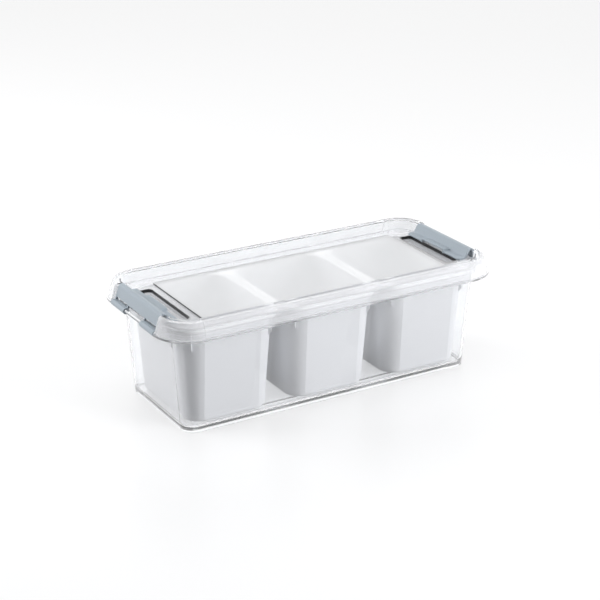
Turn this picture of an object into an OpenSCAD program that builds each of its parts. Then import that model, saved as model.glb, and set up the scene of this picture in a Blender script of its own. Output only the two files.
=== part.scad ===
// Clear storage caddy with a clear lid, two flip clips and three grey bins.
// Millimetres, +Z up, origin at the centre of the base, +X to the right-hand
// clip, +Y away from the viewer. All pieces are drawn closed, at rest.

/* [Outer box] */
// Length of the base
base_w = 313; // [280:1:340]
// Depth of the base
base_d = 120; // [105:1:135]
// Corner radius of the base
base_r = 13.2; // [8:0.2:20]
// Height of the underside of the rim flange
flange_z = 98.6; // [80:0.2:130]
// Outward lean of the walls per millimetre of height
draft = 0.0717; // [0.03:0.0005:0.11]
// Wall thickness
wall = 2.2; // [1.6:0.1:3]
// Height of the raised floor that the bins stand on
floor_z = 6.5; // [5:0.1:9]

/* [Rim] */
// How far the flange stands out past the wall
flange_out = 16.5; // [15:0.1:20]
// Thickness of the flange
flange_t = 2; // [1.5:0.1:3]
// Height of the upright edge above the flange
upstand_h = 5.4; // [3:0.1:5.6]
// Corner radius of the flange
flange_r = 35.5; // [28:0.5:40]

/* [Lid] */
// Height of the channel rim above the flange
rim_h = 15.8; // [14:0.2:20]
// Height of the floor of the lid above the flange
lid_rise = 5.8; // [5:0.1:7]
// Wall thickness of the lid
lid_t = 1.7; // [1.3:0.1:2.2]
// Free strip between the ends of the raised panel and the ends of the flange
panel_end = 46.7; // [44:0.1:60]
// Free strip between the sides of the raised panel and the sides of the flange
panel_side = 31.2; // [20:0.1:40]
// Height of the raised panel above the floor of the lid
panel_h = 1.5; // [1:0.1:2.5]
// Depth of the finger pockets
pocket_h = 3.4; // [1.5:0.1:3.6]

/* [Clips] */
// Straight rim left beside each clip, up to the corner
clip_side = 2.1; // [2:0.1:20]
// Sheet thickness of each clip
clip_t = 1.9; // [1.5:0.1:2.4]
// Radius of the hinge bar
bar_r = 1.5; // [1.2:0.1:1.8]
// Radial clearance of the hooks on the bar
hook_gap = 0.06; // [0.03:0.01:0.1]
// Width of the tongue between the hooks
tongue_w = 28; // [16:0.5:40]
// Width of the raised finger tab
tab_w = 37; // [20:0.5:50]
// Height of the edge of the finger tab above the flange of the clip
tab_rise = 2.6; // [2:0.1:4]

/* [Bins] */
// Outward lean of the bin walls per millimetre of height
bin_lean = 0.0756; // [0.05:0.0002:0.1]
// Corner radius of a bin at its foot
bin_r = 18; // [10:0.5:22]
// Wall thickness of a bin
bin_t = 1.6; // [1.2:0.1:2.2]
// How far the rim stands out past the wall at the ends of a bin
bin_out = 4.1; // [3:0.1:6]
// Free gap between neighbouring bin rims
bin_gap = 0.6; // [0.4:0.1:2]

/* [Hidden] */
$fn = 96;
BINS = 3;
// Top face of the flange, and the outline that the rim and the lid share
flange_top = flange_z + flange_t;
wall_out = draft * flange_z;
lip_w = base_w + 2 * (wall_out + flange_out);
lip_d = base_d + 2 * (wall_out + flange_out - 1.5);
end_x = lip_w / 2;
// Floor of the box: a low band round the edge and a raised middle
band_z = 2;
floor_edge = 13;
// The lid stands a hair above the flange
lid_foot = flange_top + 0.1;
rim_top = flange_top + rim_h;
lid_floor = flange_top + lid_rise;
floor_t = 1.6;
lid_under = lid_floor - floor_t;
panel_top = lid_floor + panel_h;
panel_w = lip_w - 2 * panel_end;
panel_d = lip_d - 2 * panel_side;
// Insets from the shared outline: the upright edge, the foot of the inner wall
up_in = 15;
up_out = 12.8;
foot_in = 17.2;
// Radii of the outer crest and the inner lip of the channel rim
crest_r = 3.2;
lip_r = 1.5;
// Clips: width, the gap in the lid for them, and the window in the flange
clip_w = lip_d - 2 * flange_r - 2 * clip_side;
clip_play = 1.6;
notch_half = clip_w / 2 + clip_play;
window_half = notch_half - 0.2;
// Hinge bar of the right-hand clip, the left one is its mirror
bar_x = end_x - 2.85;
bar_z = flange_z + flange_t / 2;
hook_r = bar_r + hook_gap + 1.4;
hook_start = tongue_w / 2 + 3;
hook_w = clip_w / 2 - hook_start;
hook_mid = hook_start + hook_w / 2;
window_x = bar_x - hook_r - 0.4;
// Flange of the clip, flat on the floor of the lid
flange_mid = lid_floor + 0.1 + clip_t / 2;
wall_foot = end_x - 18.9;
flange_end = end_x - 26.3;
clip_under = flange_mid - clip_t / 2;
clip_over = flange_mid + clip_t / 2;
// Finger tab: its edge, its slope down to the wall and its thickness
tab_edge = end_x - 27.7;
tab_slope = 0.16;
tab_t = 1.5;
under_end = end_x - 20.6;
// Low part of the lid that the clip wraps over, and the pocket inside it
low_in = 9.5;
cap_half = notch_half + lid_t;
pocket_x = end_x - 26;
pocket_w = 13.7;
pocket_half = clip_w / 2 - 2.5;
pocket_t = 1.2;
pocket_under = lid_floor - pocket_h - pocket_t;
// Bins: they fill the box from end to end and stop below the lid
bin_z = floor_z;
bin_top = pocket_under - 0.3;
bin_h = bin_top - bin_z;
end_gap = 0.9;
side_gap = 1.9;
pitch = (base_w + 2 * (wall_out - wall) - 2 * end_gap + bin_gap) / BINS;
rim_w = pitch - bin_gap;
rim_d = base_d + 2 * (wall_out - wall) - 2 * side_gap;
lean_out = bin_lean * bin_h;
bin_w = rim_w - 2 * (lean_out + bin_out);
bin_d = rim_d - 2 * (lean_out + 1.8);
rim_r = bin_r + 6;

// A rounded rectangle, centred
module rounded(w, d, r) {
  square([w - 2 * r, d], center = true);
  square([w, d - 2 * r], center = true);
  for (sx = [-1, 1]) {
    for (sy = [-1, 1]) {
      translate([sx * (w / 2 - r), sy * (d / 2 - r)]) circle(r);
    }
  }
}

// A flat plate with rounded corners from z upwards
module plate(w, d, r, z, h) {
  translate([0, 0, z]) linear_extrude(h) rounded(w, d, r);
}

// Carries a profile round a rounded rectangle. In the profile, x is measured
// outwards from the outline and y is the height.
module around(w, d, r) {
  for (k = [0 : 3]) {
    sx = (k == 0 || k == 3) ? 1 : -1;
    sy = k < 2 ? 1 : -1;
    translate([sx * (w / 2 - r), sy * (d / 2 - r), 0]) {
      rotate([0, 0, 90 * k]) {
        rotate_extrude(angle = 90) translate([r, 0]) children();
      }
    }
  }
  for (k = [0 : 3]) {
    half = k % 2 == 0 ? w / 2 : d / 2;
    run = k % 2 == 0 ? d - 2 * r : w - 2 * r;
    rotate([0, 0, 90 * k]) {
      translate([half, run / 2, 0]) {
        rotate([90, 0, 0]) linear_extrude(run) children();
      }
    }
  }
}

function unit(v) = v / norm(v);
function left_of(v) = [-v[1], v[0]];
function arc(c, r, from, to, steps) =
  [for (i = [0 : steps]) let (a = from + (to - from) * i / steps) c + r * [cos(a), sin(a)]];

// Direction, in degrees, of the line from p that touches the circle round c
function touching(p, c, r, left) =
  let (v = c - p) atan2(v[1], v[0]) + (left ? 1 : -1) * asin(r / norm(v));

// The corner at q between p and s, rounded to radius r
function rounded_corner(p, q, s, r) =
  let (u = unit(p - q), w = unit(s - q), half = acos(u * w) / 2)
  let (c = q + r / sin(half) * unit(u + w))
  let (a = q + r / tan(half) * u - c, b = q + r / tan(half) * w - c)
  let (from = atan2(a[1], a[0]), to = atan2(b[1], b[0]))
  let (sweep = to - from > 180 ? to - from - 360 : (to - from < -180 ? to - from + 360 : to - from))
  arc(c, r, from, from + sweep, 5);

// A line of points with its inner corners rounded
function rounded_line(p, r) = [
  p[0],
  for (i = [1 : len(p) - 2]) for (q = rounded_corner(p[i - 1], p[i], p[i + 1], r[i])) q,
  p[len(p) - 1]
];

// The same line shifted sideways by d
function shifted(p, d) = [
  for (i = [0 : len(p) - 1])
    let (u = left_of(unit(p[max(i, 1)] - p[max(i, 1) - 1])))
    let (w = left_of(unit(p[min(i + 1, len(p) - 1)] - p[min(i + 1, len(p) - 1) - 1])))
    p[i] + d / (unit(u + w) * u) * unit(u + w)
];

function reversed(p) = [for (i = [len(p) - 1 : -1 : 0]) p[i]];

// A bent sheet of even thickness in 2D, with a round far end
module sheet(p, r, t) {
  line = rounded_line(p, r);
  polygon(concat(shifted(line, t / 2), reversed(shifted(line, -t / 2))));
  translate(line[len(line) - 1]) circle(d = t);
}

// An x-z profile made into a bar of the given width along y
module along_y(width) {
  translate([0, width / 2, 0]) rotate([90, 0, 0]) linear_extrude(width) children();
}

// OUTER BOX

// Wall with its small bottom chamfer and the fillet at the floor
module wall_profile() {
  top = flange_top;
  polygon([
    [-wall, 0],
    [-0.7, 0],
    [0, 0.7],
    [draft * top, top],
    [draft * top - wall, top],
    [-wall, 4]
  ]);
  difference() {
    translate([-wall - 4, 2]) square([4.4, 6.2]);
    translate([-wall - 4, 8.2]) circle(4);
  }
}

// Upright edge that the channel of the lid drops over
module upstand_profile() {
  top = flange_top + upstand_h;
  polygon([
    [-up_in, flange_top - 1],
    [-up_out, flange_top - 1],
    [-up_out, top - 0.7],
    [-up_out - 0.6, top],
    [-up_in + 0.6, top],
    [-up_in, top - 0.7]
  ]);
}

module hinge_end() {
  // Bar that the hooks of a clip turn on, and the tongue at its middle
  translate([bar_x, window_half, bar_z]) {
    rotate([90, 0, 0]) cylinder(r = bar_r, h = 2 * window_half);
  }
  translate([window_x - 1, -tongue_w / 2, flange_z]) cube([bar_x - window_x + 1, tongue_w, flange_t]);
  // Gussets under the flange beside the window
  for (s = [0, 1]) {
    mirror([0, s, 0]) translate([0, window_half, 0]) gusset();
  }
}

module gusset() {
  translate([0, 1.8, 0]) rotate([90, 0, 0]) linear_extrude(1.8) polygon([
    [base_w / 2 + draft * (flange_z - 16) - 1, flange_z - 16],
    [bar_x - 3, flange_z - 1.6],
    [bar_x - 3, flange_z + 0.5],
    [base_w / 2 + wall_out - 1, flange_z + 0.5]
  ]);
}

module outer_box() {
  color([0.93, 0.95, 0.97, 0.3]) {
    difference() {
      union() {
        around(base_w, base_d, base_r) wall_profile();
        difference() {
          plate(lip_w, lip_d, flange_r, flange_z, flange_t);
          plate(
            base_w + 2 * wall_out - wall,
            base_d + 2 * wall_out - wall,
            base_r + wall_out - wall / 2,
            flange_z - 1,
            flange_t + 2
          );
        }
        around(lip_w, lip_d, flange_r) upstand_profile();
      }
      // The upright edge stops beside each clip
      for (s = [-1, 1]) {
        translate([s * (end_x - up_in), -cap_half - 0.4, flange_top]) {
          translate([-3, 0, 0]) cube([8, 2 * cap_half + 0.8, upstand_h + 1]);
        }
      }
      // Windows in the flange that let the hooks of the clips turn
      for (s = [-1, 1]) {
        translate([s * (window_x + 10) - 10, -window_half, flange_z - 1]) {
          cube([20, 2 * window_half, flange_t + 2]);
        }
      }
    }
    difference() {
      union() {
        plate(base_w - wall, base_d - wall, base_r - wall / 2, band_z, wall);
        plate(base_w - 2 * floor_edge, base_d - 2 * floor_edge, 6, band_z, floor_z - band_z);
      }
      plate(
        base_w - 2 * floor_edge - 2 * wall,
        base_d - 2 * floor_edge - 2 * wall,
        4,
        0,
        floor_z - wall
      );
    }
    hinge_end();
    mirror([1, 0, 0]) hinge_end();
  }
}

// LID

// Outside of the channel rim, x from the shared outline
module rim_solid() {
  foot = [-1.2, lid_foot];
  crest = [-8.6, rim_top - crest_r];
  inner_foot = [-foot_in, lid_floor];
  lip = [-12.9, rim_top - lip_r];
  polygon(concat(
    [foot],
    arc(crest, crest_r, touching(foot, crest, crest_r, false) - 90, 90, 7),
    arc(lip, lip_r, 90, touching(inner_foot, lip, lip_r, true) + 90, 5),
    [inner_foot, [-foot_in, lid_under], [-up_in - 0.5, lid_under], [-up_in - 0.5, lid_foot]]
  ));
}

module rim_hollow() {
  foot = [-1.2 - lid_t, lid_foot];
  crest = [-8.6, rim_top - crest_r];
  r = crest_r - lid_t;
  polygon(concat(
    [foot - [0, 1], foot],
    arc(crest, r, touching(foot, crest, r, false) - 90, 90, 5),
    [[-12.7, rim_top - lid_t], [-up_in - 0.5, lid_floor], [-up_in - 0.5, lid_foot - 1]]
  ));
}

module rim_profile() {
  difference() {
    rim_solid();
    rim_hollow();
  }
}

// Edge of the lid under the clip: flat, then turned down, x from the shared outline
module low_profile() {
  polygon([
    [-foot_in - 0.8, lid_under],
    [-foot_in - 0.8, lid_floor],
    [-low_in - 0.8, lid_floor],
    [-low_in, lid_floor - 0.8],
    [-low_in + 1.2, lid_foot],
    [-low_in + 1.2 - lid_t, lid_foot],
    [-low_in - lid_t, lid_under]
  ]);
}

module lid_end() {
  translate([end_x, 0, 0]) {
    along_y(2 * notch_half + 1) low_profile();
    // Walls that close the rim on both sides of the clip
    for (s = [0, 1]) {
      mirror([0, s, 0]) translate([0, cap_half, 0]) {
        rotate([90, 0, 0]) linear_extrude(lid_t) rim_solid();
      }
    }
  }
}

// Finger pocket in front of the clip
module pocket(grow, z, h) {
  translate([pocket_x - pocket_w / 2, 0, 0]) {
    plate(pocket_w + 2 * grow, 2 * (pocket_half + grow), 4 + grow, z, h);
  }
}

module lid() {
  color([0.93, 0.95, 0.97, 0.3]) {
    difference() {
      union() {
        around(lip_w, lip_d, flange_r) rim_profile();
        plate(
          lip_w - 2 * foot_in + 2.4,
          lip_d - 2 * foot_in + 2.4,
          flange_r - foot_in + 1.2,
          lid_under,
          floor_t
        );
        plate(panel_w, panel_d, 1.2, lid_under, panel_top - lid_under);
        for (s = [0, 1]) {
          mirror([s, 0, 0]) pocket(pocket_t, pocket_under, pocket_h + 0.6);
        }
      }
      plate(
        panel_w - 2 * floor_t,
        panel_d - 2 * floor_t,
        0.6,
        lid_under - 1,
        panel_h + 1
      );
      for (s = [0, 1]) {
        mirror([s, 0, 0]) {
          pocket(0, lid_floor - pocket_h, pocket_h + 1);
          // Gap in the rim for the clip
          translate([end_x - foot_in - 0.4, -notch_half, lid_foot - 1]) {
            cube([foot_in + 1, 2 * notch_half, rim_h + 2]);
          }
        }
      }
    }
    lid_end();
    mirror([1, 0, 0]) lid_end();
  }
}

// CLIPS

// Section of a clip at the right-hand end, from the hook to the flange
module clip_profile() {
  top = rim_top + 0.2 - clip_t / 2;
  sheet([
    [bar_x - 1.7, bar_z + 1.7],
    [bar_x - 2.8, flange_top + 2.2],
    [end_x - 9.9, top],
    [end_x - 13.9, top],
    [wall_foot, flange_mid],
    [flange_end, flange_mid]
  ], [0, 1.2, 2.8, 3, 2.6, 0], clip_t);
}

function tab_z(x) = clip_over + tab_rise - tab_slope * (x - tab_edge);

// Finger tab: the middle of the flange stands higher, with sloping sides
module tab_section() {
  polygon([
    [tab_edge, clip_under],
    [tab_edge, tab_z(tab_edge) - 0.6],
    [tab_edge + 0.6, tab_z(tab_edge + 0.6)],
    [wall_foot + 1, tab_z(wall_foot + 1)],
    [wall_foot, flange_mid],
    [wall_foot - 1, clip_under]
  ]);
}

module under_section() {
  polygon([
    [tab_edge - 1, clip_under - 1],
    [tab_edge - 1, tab_z(tab_edge - 1) - tab_t],
    [under_end, tab_z(under_end) - tab_t],
    [under_end, clip_under - 1]
  ]);
}

// A bar along x whose sides slope in towards the top
module bridge(half, foot, top) {
  translate([end_x, 0, 0]) rotate([0, -90, 0]) linear_extrude(40) polygon([
    [foot, -half - 2.2],
    [top, -half],
    [top, half],
    [foot, half + 2.2]
  ]);
}

module clip() {
  difference() {
    union() {
      along_y(clip_w) clip_profile();
      intersection() {
        along_y(tab_w + 10) tab_section();
        bridge(tab_w / 2 - 0.6, clip_under, clip_over + tab_rise + 0.5);
      }
      // Hooks round the hinge bar
      for (s = [-1, 1]) {
        translate([bar_x, s * hook_mid + hook_w / 2, bar_z]) {
          rotate([90, 0, 0]) cylinder(r = hook_r, h = hook_w);
        }
      }
    }
    // Finger room under the tab
    intersection() {
      along_y(tab_w + 10) under_section();
      bridge(tab_w / 2 - 2.2, clip_under - 1, clip_over + tab_rise - 1);
    }
    for (s = [-1, 1]) {
      // Bore, and the mouth that snaps over the bar
      translate([bar_x, s * hook_mid + hook_w / 2 + 1, bar_z]) {
        rotate([90, 0, 0]) cylinder(r = bar_r + hook_gap, h = hook_w + 2);
      }
      translate([bar_x, s * hook_mid, bar_z]) {
        rotate([0, 45, 0]) translate([-0.85 * bar_r, -hook_w / 2 - 1, -5]) {
          cube([1.7 * bar_r, hook_w + 2, 5]);
        }
      }
      // Window above each hook
      translate([end_x - 14, s * hook_mid - hook_w / 2 + 2, bar_z + hook_r]) {
        cube([12, hook_w - 3.6, 2.6]);
      }
      // Bevelled corners of the flange
      translate([flange_end - 0.9, s * clip_w / 2, flange_mid]) {
        rotate([0, 0, 45]) cube([2.4, 2.4, 4], center = true);
      }
    }
    // Between the hooks the sheet stops short of the flange of the box
    translate([end_x - 14, -hook_start, flange_z - 4]) {
      cube([14, 2 * hook_start, flange_t + 8.2]);
    }
  }
}

module right_clip() {
  color([0.66, 0.71, 0.75]) clip();
}

module left_clip() {
  color([0.66, 0.71, 0.75]) mirror([1, 0, 0]) clip();
}

// BINS

// Wall of a bin with a rounded foot
module bin_wall_profile() {
  foot_r = 2.4;
  inner_x = bin_lean * 3.5 - bin_t;
  difference() {
    union() {
      polygon([
        [-foot_r, bin_z],
        [bin_lean * foot_r, bin_z + foot_r],
        [lean_out, bin_top],
        [lean_out - bin_t, bin_top],
        [inner_x, bin_z + 3.5],
        [inner_x - 1.5, bin_z + 2],
        [inner_x - 2.5, bin_z + 2],
        [inner_x - 2.5, bin_z]
      ]);
      translate([bin_lean * foot_r - foot_r, bin_z + foot_r]) circle(foot_r);
    }
    // Keeps the round foot out of the inside
    polygon([
      [inner_x, bin_z + 3.5],
      [inner_x, bin_z + 9],
      [inner_x - 9, bin_z + 9],
      [inner_x - 9, bin_z + 2],
      [inner_x - 1.5, bin_z + 2]
    ]);
  }
}

// Down-turned edge of the rim
module bin_edge_profile() {
  polygon([
    [-1.5, bin_top - 3.4],
    [-0.3, bin_top - 3.4],
    [0, bin_top - 3.1],
    [0, bin_top - 0.7],
    [-0.6, bin_top],
    [-1.6, bin_top],
    [-1.6, bin_top - 1.5]
  ]);
}

// Shallow rounded panel on the front and the back
module panel_cut() {
  lean = atan(bin_lean);
  translate([0, -bin_d / 2, bin_z]) rotate([lean, 0, 0]) {
    translate([0, 0.5, bin_h / 2 - 2]) {
      rotate([90, 0, 0]) linear_extrude(2) rounded(bin_w - 24, bin_h - 12, 4);
    }
  }
}

// Short fin under the rim at each corner
module fin() {
  r0 = bin_r + bin_lean * (bin_h - 22) - 0.9;
  translate([0, 0.7, 0]) rotate([90, 0, 0]) linear_extrude(1.4) polygon([
    [r0, bin_top - 22],
    [r0 + 1.8, bin_top - 22],
    [r0 + 4.2, bin_top - 18.6],
    [r0 + 4.2, bin_top - 0.8],
    [r0 + 1.4, bin_top - 0.8]
  ]);
}

module bin() {
  color([0.84, 0.845, 0.855]) {
    difference() {
      union() {
        around(bin_w, bin_d, bin_r) bin_wall_profile();
        plate(bin_w - 5, bin_d - 5, bin_r - 2.5, bin_z, 2);
        difference() {
          plate(rim_w - 2, rim_d - 2, rim_r - 1, bin_top - 1.5, 1.5);
          plate(
            bin_w + 2 * (lean_out - bin_t / 2),
            bin_d + 2 * (lean_out - bin_t / 2),
            bin_r + lean_out - bin_t / 2,
            bin_top - 3,
            6
          );
        }
        around(rim_w, rim_d, rim_r) bin_edge_profile();
      }
      panel_cut();
      mirror([0, 1, 0]) panel_cut();
    }
    for (sx = [0, 1]) {
      for (sy = [0, 1]) {
        mirror([sx, 0, 0]) mirror([0, sy, 0]) {
          translate([bin_w / 2 - bin_r, bin_d / 2 - bin_r, 0]) rotate([0, 0, 49.5]) fin();
        }
      }
    }
  }
}

module left_bin() {
  translate([-pitch, 0, 0]) bin();
}

module middle_bin() {
  bin();
}

module right_bin() {
  translate([pitch, 0, 0]) bin();
}

outer_box();
lid();
left_clip();
right_clip();
left_bin();
middle_bin();
right_bin();
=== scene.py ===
"""Looks of the clear caddy: clear box, milky clear lid, two satin grey clips, three light grey bins.

Metres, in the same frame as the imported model. Nothing here moves or reshapes a CAD node.
"""

import math

import bpy
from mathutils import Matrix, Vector

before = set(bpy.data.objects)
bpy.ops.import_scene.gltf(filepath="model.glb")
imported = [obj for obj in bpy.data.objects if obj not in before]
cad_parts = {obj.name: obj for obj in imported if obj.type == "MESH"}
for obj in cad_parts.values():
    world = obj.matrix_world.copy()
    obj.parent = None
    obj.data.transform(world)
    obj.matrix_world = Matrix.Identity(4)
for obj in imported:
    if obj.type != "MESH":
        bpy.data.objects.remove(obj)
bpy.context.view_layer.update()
BINS = ("left_bin", "middle_bin", "right_bin")
CLIPS = ("left_clip", "right_clip")

# Camera, fitted to the photograph: turn and height in degrees, distance, point looked at, lens in mm
VIEW_TURN = -30.4934
VIEW_RISE = 21.841
VIEW_DISTANCE = 1.6303
VIEW_TARGET = Vector((0.03258, 0.058, 0.054))
SENSOR = 36.0
LENS = 96.70

# Linear colours
WHITE = (1.0, 1.0, 1.0, 1)
CLEAR = (0.93, 0.938, 0.95, 1)
POLISHED = (0.975, 0.98, 0.985, 1)
MILKY = (0.90, 0.907, 0.925, 1)
FROST = (0.84, 0.848, 0.862, 1)
# Near black as painted shade for the lid's panel step and pocket walls, where shade and refraction show
# dark lines
PAINTED_SHADE_BLACK = (0.006, 0.0065, 0.0075, 1)
BIN_GREY = (0.76, 0.77, 0.797, 1)
# The bins' own grey, darkened for their insides as painted shade
BIN_INSIDE_PAINTED_SHADE = (0.60, 0.61, 0.635, 1)
# The bins' own grey, lightened for the top of their rims as painted light
RIM_PAINTED_LIGHT = (0.93, 0.935, 0.95, 1)
CLIP_GREY = (0.298, 0.341, 0.38, 1)
FLOOR_GREY = (0.30, 0.302, 0.307, 1)

# Moulded surfaces: waves per metre of the grain, its strength, the waviness under it, spread of gloss
CLIP_GRAIN = 2600
BIN_GRAIN = 1800
CLEAR_GRAIN = 900
GRAIN_STRENGTH = 0.35
GRAIN_DETAIL = 3
WAVE_DETAIL = 2
WAVE_LENGTH = 40
WAVE_HEIGHT = 1.5
SATIN_SPREAD = 0.12
CLEAR_SPREAD = 0.4

# Lid: half sizes of the raised panel, the height range of its edge, and the finger pockets
PANEL_HALF_X = 0.13337
PANEL_HALF_Y = 0.05087
LID_FLOOR = 0.1064
PANEL_TOP = 0.1079
POCKET_X = (0.1390, 0.1555)
POCKET_HALF_Y = 0.0435

# Outline that the rim follows: half sizes, corner radius, and how far in from it the clear lip starts
OUTLINE = (0.18007, 0.08207)
OUTLINE_CORNER = 0.0355
LIP_FROM = 0.0095

# Bins: height of the rim and distance from one to the next
BIN_TOP = 0.1015
BIN_PITCH = 0.1072

# How near to a named height or size a face is to belong to it, and upward parts of a normal
NEAR = 0.0012
LEANING = 0.3
STEEP = 0.7
LEVEL = 0.9

# Floor: half width, height below the base, finish, and its own light as seen
FLOOR_HALF = 6.0
FLOOR_DROP = 0.0004
FLOOR_ROUGHNESS = 0.30
FLOOR_BEND = 1.6
FLOOR_LIGHT = 0.56
FLOOR_LIGHT_THROUGH_PLASTIC = 0.30

# Strength of the surroundings as seen and as light
SEEN = 1.0
FILL = 0.11

# Lamps: name, direction, distance, edge of the square, watts
LAMP_AIM = Vector((0, 0, 0.05))
LAMPS = (
    ("left_back", (-0.74, 0.66, 0.34), 1.6, 0.9, 27),
    ("right_front", (0.64, -0.76, 0.34), 1.6, 0.9, 29),
    ("above", (0, 0, 1), 1.5, 1.4, 16),
)


def new_material(name):
    """An empty node material, its tree and its output node."""
    material = bpy.data.materials.new(name)
    material.use_nodes = True
    tree = material.node_tree
    tree.nodes.clear()
    return material, tree, tree.nodes.new("ShaderNodeOutputMaterial")


def add(tree, kind, **settings):
    """A new node with these settings."""
    node = tree.nodes.new(kind)
    for key, value in settings.items():
        setattr(node, key, value)
    return node


def maths(tree, operation, a, b=0.0, c=0.0):
    """A Math node on sockets or numbers."""
    node = add(tree, "ShaderNodeMath", operation=operation)
    for socket, value in zip(node.inputs, (a, b, c)):
        if isinstance(value, (int, float)):
            socket.default_value = value
        else:
            tree.links.new(value, socket)
    return node.outputs[0]


def noise(tree, scale, detail):
    """Noise in object coordinates, in waves of 1 / scale metres."""
    place = add(tree, "ShaderNodeTexCoord")
    cloud = add(tree, "ShaderNodeTexNoise")
    cloud.inputs["Scale"].default_value = scale
    cloud.inputs["Detail"].default_value = detail
    tree.links.new(place.outputs["Object"], cloud.inputs["Vector"])
    return cloud.outputs["Fac"]


def moulded_surface(tree, shader, roughness, spread, grain, depth):
    """Fine moulded grain as bump, over a slow waviness that also makes the gloss uneven."""
    slow = noise(tree, grain / WAVE_LENGTH, WAVE_DETAIL)
    height = maths(tree, "MULTIPLY_ADD", slow, WAVE_HEIGHT, noise(tree, grain, GRAIN_DETAIL))
    bump = add(tree, "ShaderNodeBump")
    bump.inputs["Strength"].default_value = GRAIN_STRENGTH
    bump.inputs["Distance"].default_value = depth
    tree.links.new(height, bump.inputs["Height"])
    tree.links.new(bump.outputs["Normal"], shader.inputs["Normal"])
    uneven = maths(tree, "MULTIPLY_ADD", slow, spread, roughness - spread / 2)
    tree.links.new(uneven, shader.inputs["Roughness"])


def satin_plastic(name, colour, roughness, grain, depth):
    """Opaque moulded plastic with a fine grain and slightly uneven gloss."""
    material, tree, output = new_material(name)
    shader = add(tree, "ShaderNodeBsdfPrincipled")
    shader.inputs["Base Color"].default_value = colour
    moulded_surface(tree, shader, roughness, SATIN_SPREAD, grain, depth)
    tree.links.new(shader.outputs[0], output.inputs["Surface"])
    return material


def clear_plastic(name, tint, clarity, roughness, let_through, bend, straight, depth):
    """Plastic with real thickness that is clear to a share, milky for the rest.

    Lamps and dull surfaces see it as a thin film that lets let_through of the light pass, so the
    bins are lit. bend is its index of refraction, and straight is the share of a view that crosses
    it unbent, which softens its edges.
    """
    material, tree, output = new_material(name)
    shader = add(tree, "ShaderNodeBsdfPrincipled")
    shader.inputs["Base Color"].default_value = tint
    shader.inputs["IOR"].default_value = bend
    shader.inputs["Transmission Weight"].default_value = clarity
    moulded_surface(tree, shader, roughness, roughness * CLEAR_SPREAD, CLEAR_GRAIN, depth)
    through = add(tree, "ShaderNodeBsdfTransparent")
    through.inputs["Color"].default_value = (let_through, let_through, let_through, 1)
    path = add(tree, "ShaderNodeLightPath")
    shadow, dull = path.outputs["Is Shadow Ray"], path.outputs["Is Diffuse Ray"]
    share = maths(tree, "MAXIMUM", maths(tree, "MAXIMUM", shadow, dull), straight)
    mix = add(tree, "ShaderNodeMixShader")
    tree.links.new(share, mix.inputs[0])
    tree.links.new(shader.outputs[0], mix.inputs[1])
    tree.links.new(through.outputs[0], mix.inputs[2])
    tree.links.new(mix.outputs[0], output.inputs["Surface"])
    return material


def give(node, *materials, choose=None):
    """Each face of the CAD node gets the first material, or the one that choose(centre, normal) says."""
    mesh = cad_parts[node].data
    mesh.materials.clear()
    for material in materials:
        mesh.materials.append(material)
    for face in mesh.polygons:
        face.material_index = choose(face.center, face.normal) if choose else 0


def inset(x, y):
    """How far a point lies inside the rounded outline of the rim."""
    over_x = max(x - OUTLINE[0] + OUTLINE_CORNER, 0)
    over_y = max(y - OUTLINE[1] + OUTLINE_CORNER, 0)
    if over_x and over_y:
        return OUTLINE_CORNER - math.hypot(over_x, over_y)
    return min(OUTLINE[0] - x, OUTLINE[1] - y)


def bin_zone(centre, normal):
    """0 for the outside of a bin, 1 for the top of its rim, made paler as painted light, 2 for its
    inside, made darker as painted shade.
    """
    if centre.z > BIN_TOP - NEAR and normal.z > LEANING:
        return 1
    middle = BIN_PITCH * round(centre.x / BIN_PITCH)
    faces_in = normal.x * (centre.x - middle) + normal.y * centre.y < 0
    return 2 if faces_in or normal.z > LEVEL else 0


def lid_zone(centre, normal):
    """0 for the rim, 1 for the panel, 2 for its step and the pocket walls, in near-black painted shade,
    3 for the clear lip.
    """
    x, y, z = abs(centre.x), abs(centre.y), centre.z
    upright = abs(normal.z) < STEEP
    in_panel = x < PANEL_HALF_X + NEAR and y < PANEL_HALF_Y + NEAR
    if upright and in_panel and LID_FLOOR - NEAR < z < PANEL_TOP + NEAR:
        return 2
    if upright and POCKET_X[0] < x < POCKET_X[1] and y < POCKET_HALF_Y and z < LID_FLOOR:
        return 2
    if z > LID_FLOOR + NEAR / 2 and inset(x, y) > LIP_FROM and not in_panel:
        return 3
    return 1 if in_panel and not upright else 0


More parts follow.
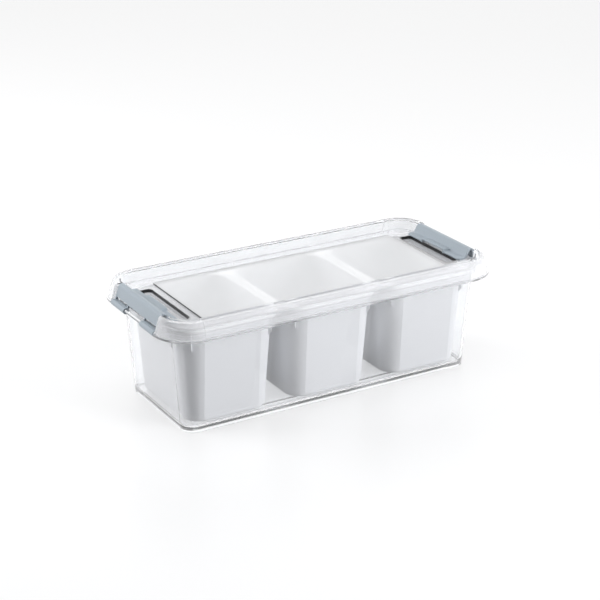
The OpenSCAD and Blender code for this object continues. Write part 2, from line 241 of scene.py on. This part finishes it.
def finish_parts():
    """Clear box and lid, grey clips, and bins of one grey with painted light on the rim top and painted
    shade inside.
    """
    give("outer_box", clear_plastic(
        "clear_box", CLEAR, clarity=0.97, roughness=0.02, let_through=0.97,
        bend=1.47, straight=0.10, depth=0.000006))
    rim = clear_plastic(
        "clear_lid", MILKY, clarity=0.74, roughness=0.06, let_through=0.94,
        bend=1.45, straight=0.10, depth=0.00002)
    panel = clear_plastic(
        "frosted_panel", FROST, clarity=0.60, roughness=0.03, let_through=0.92,
        bend=1.35, straight=0.0, depth=0.00001)
    # Painted shade: the panel's step and the pocket walls are made near black to stand for the dark
    # lines of shade and refraction there.
    step = clear_plastic(
        "painted_shade_step", PAINTED_SHADE_BLACK, clarity=0.05, roughness=0.20, let_through=0.80,
        bend=1.49, straight=0.0, depth=0.00002)
    lip = clear_plastic(
        "polished_lip", POLISHED, clarity=1.0, roughness=0.005, let_through=0.97,
        bend=1.09, straight=0.0, depth=0.000001)
    give("lid", rim, panel, step, lip, choose=lid_zone)
    grey = satin_plastic("grey_clip", CLIP_GREY, 0.33, CLIP_GRAIN, 0.00008)
    for node in CLIPS:
        give(node, grey)
    pale = satin_plastic("grey_bin", BIN_GREY, 0.42, BIN_GRAIN, 0.00005)
    # Painted shade inside the bins and painted light on their rim tops: the same plastic as the outside
    # in darker and paler copies.
    inside = satin_plastic("bin_inside_painted_shade", BIN_INSIDE_PAINTED_SHADE, 0.50, BIN_GRAIN, 0.00005)
    top = satin_plastic("rim_painted_light", RIM_PAINTED_LIGHT, 0.34, BIN_GRAIN, 0.00003)
    for node in BINS:
        give(node, pale, top, inside, choose=bin_zone)


def shown_directly(tree):
    """1 for rays from the camera, a gloss or a clear wall, 0 for light on dull surfaces."""
    path = add(tree, "ShaderNodeLightPath")
    seen = maths(tree, "MAXIMUM", path.outputs["Is Camera Ray"], path.outputs["Is Glossy Ray"])
    return maths(tree, "MAXIMUM", seen, path.outputs["Is Transmission Ray"])


def floor():
    """Plain floor, shown white, that keeps the soft shadow and a faint reflection."""
    mesh = bpy.data.meshes.new("floor")
    corners = [(-1, -1), (1, -1), (1, 1), (-1, 1)]
    mesh.from_pydata([(FLOOR_HALF * x, FLOOR_HALF * y, 0) for x, y in corners], [], [(0, 1, 2, 3)])
    ground = bpy.data.objects.new("floor", mesh)
    bpy.context.scene.collection.objects.link(ground)
    ground.location.z = -FLOOR_DROP
    material, tree, output = new_material("floor")
    shader = add(tree, "ShaderNodeBsdfPrincipled")
    shader.inputs["Base Color"].default_value = FLOOR_GREY
    shader.inputs["Roughness"].default_value = FLOOR_ROUGHNESS
    shader.inputs["IOR"].default_value = FLOOR_BEND
    through_plastic = add(tree, "ShaderNodeLightPath").outputs["Is Transmission Ray"]
    lift = maths(tree, "MULTIPLY", shown_directly(tree), FLOOR_LIGHT)
    lift = maths(tree, "MULTIPLY_ADD", through_plastic, FLOOR_LIGHT_THROUGH_PLASTIC, lift)
    tree.links.new(lift, shader.inputs["Emission Strength"])
    shader.inputs["Emission Color"].default_value = WHITE
    tree.links.new(shader.outputs[0], output.inputs["Surface"])
    mesh.materials.append(material)


def background(tree, strength):
    """A white background of this strength."""
    node = add(tree, "ShaderNodeBackground")
    node.inputs["Color"].default_value = WHITE
    node.inputs["Strength"].default_value = strength
    return node.outputs[0]


def studio():
    """White surroundings as seen, with a low even fill as light."""
    world = bpy.data.worlds.new("studio")
    bpy.context.scene.world = world
    world.use_nodes = True
    tree = world.node_tree
    tree.nodes.clear()
    output = add(tree, "ShaderNodeOutputWorld")
    mix = add(tree, "ShaderNodeMixShader")
    tree.links.new(shown_directly(tree), mix.inputs[0])
    tree.links.new(background(tree, FILL), mix.inputs[1])
    tree.links.new(background(tree, SEEN), mix.inputs[2])
    tree.links.new(mix.outputs[0], output.inputs["Surface"])


def area_light(name, direction, distance, size, power):
    """A soft square lamp that faces the caddy from the given direction and lights only dull surfaces."""
    lamp = bpy.data.lights.new(name, "AREA")
    lamp.shape = "SQUARE"
    lamp.size = size
    lamp.energy = power
    thing = bpy.data.objects.new(name, lamp)
    bpy.context.scene.collection.objects.link(thing)
    away = Vector(direction).normalized()
    thing.location = LAMP_AIM + away * distance
    thing.rotation_euler = away.to_track_quat("Z", "Y").to_euler()
    thing.visible_camera = False
    thing.visible_transmission = False
    thing.visible_glossy = False


def camera():
    """The photograph's view."""
    turn, rise = math.radians(VIEW_TURN), math.radians(VIEW_RISE)
    level = math.cos(rise)
    back = Vector((math.sin(turn) * level, -math.cos(turn) * level, math.sin(rise)))
    lens = bpy.data.cameras.new("camera")
    lens.lens = LENS
    lens.sensor_width = SENSOR
    thing = bpy.data.objects.new("camera", lens)
    bpy.context.scene.collection.objects.link(thing)
    thing.location = VIEW_TARGET + back * VIEW_DISTANCE
    thing.rotation_euler = back.to_track_quat("Z", "Y").to_euler()
    bpy.context.scene.camera = thing


camera()
finish_parts()
floor()
studio()
for lamp_row in LAMPS:
    area_light(*lamp_row)
bpy.context.scene.view_settings.view_transform = "Standard"
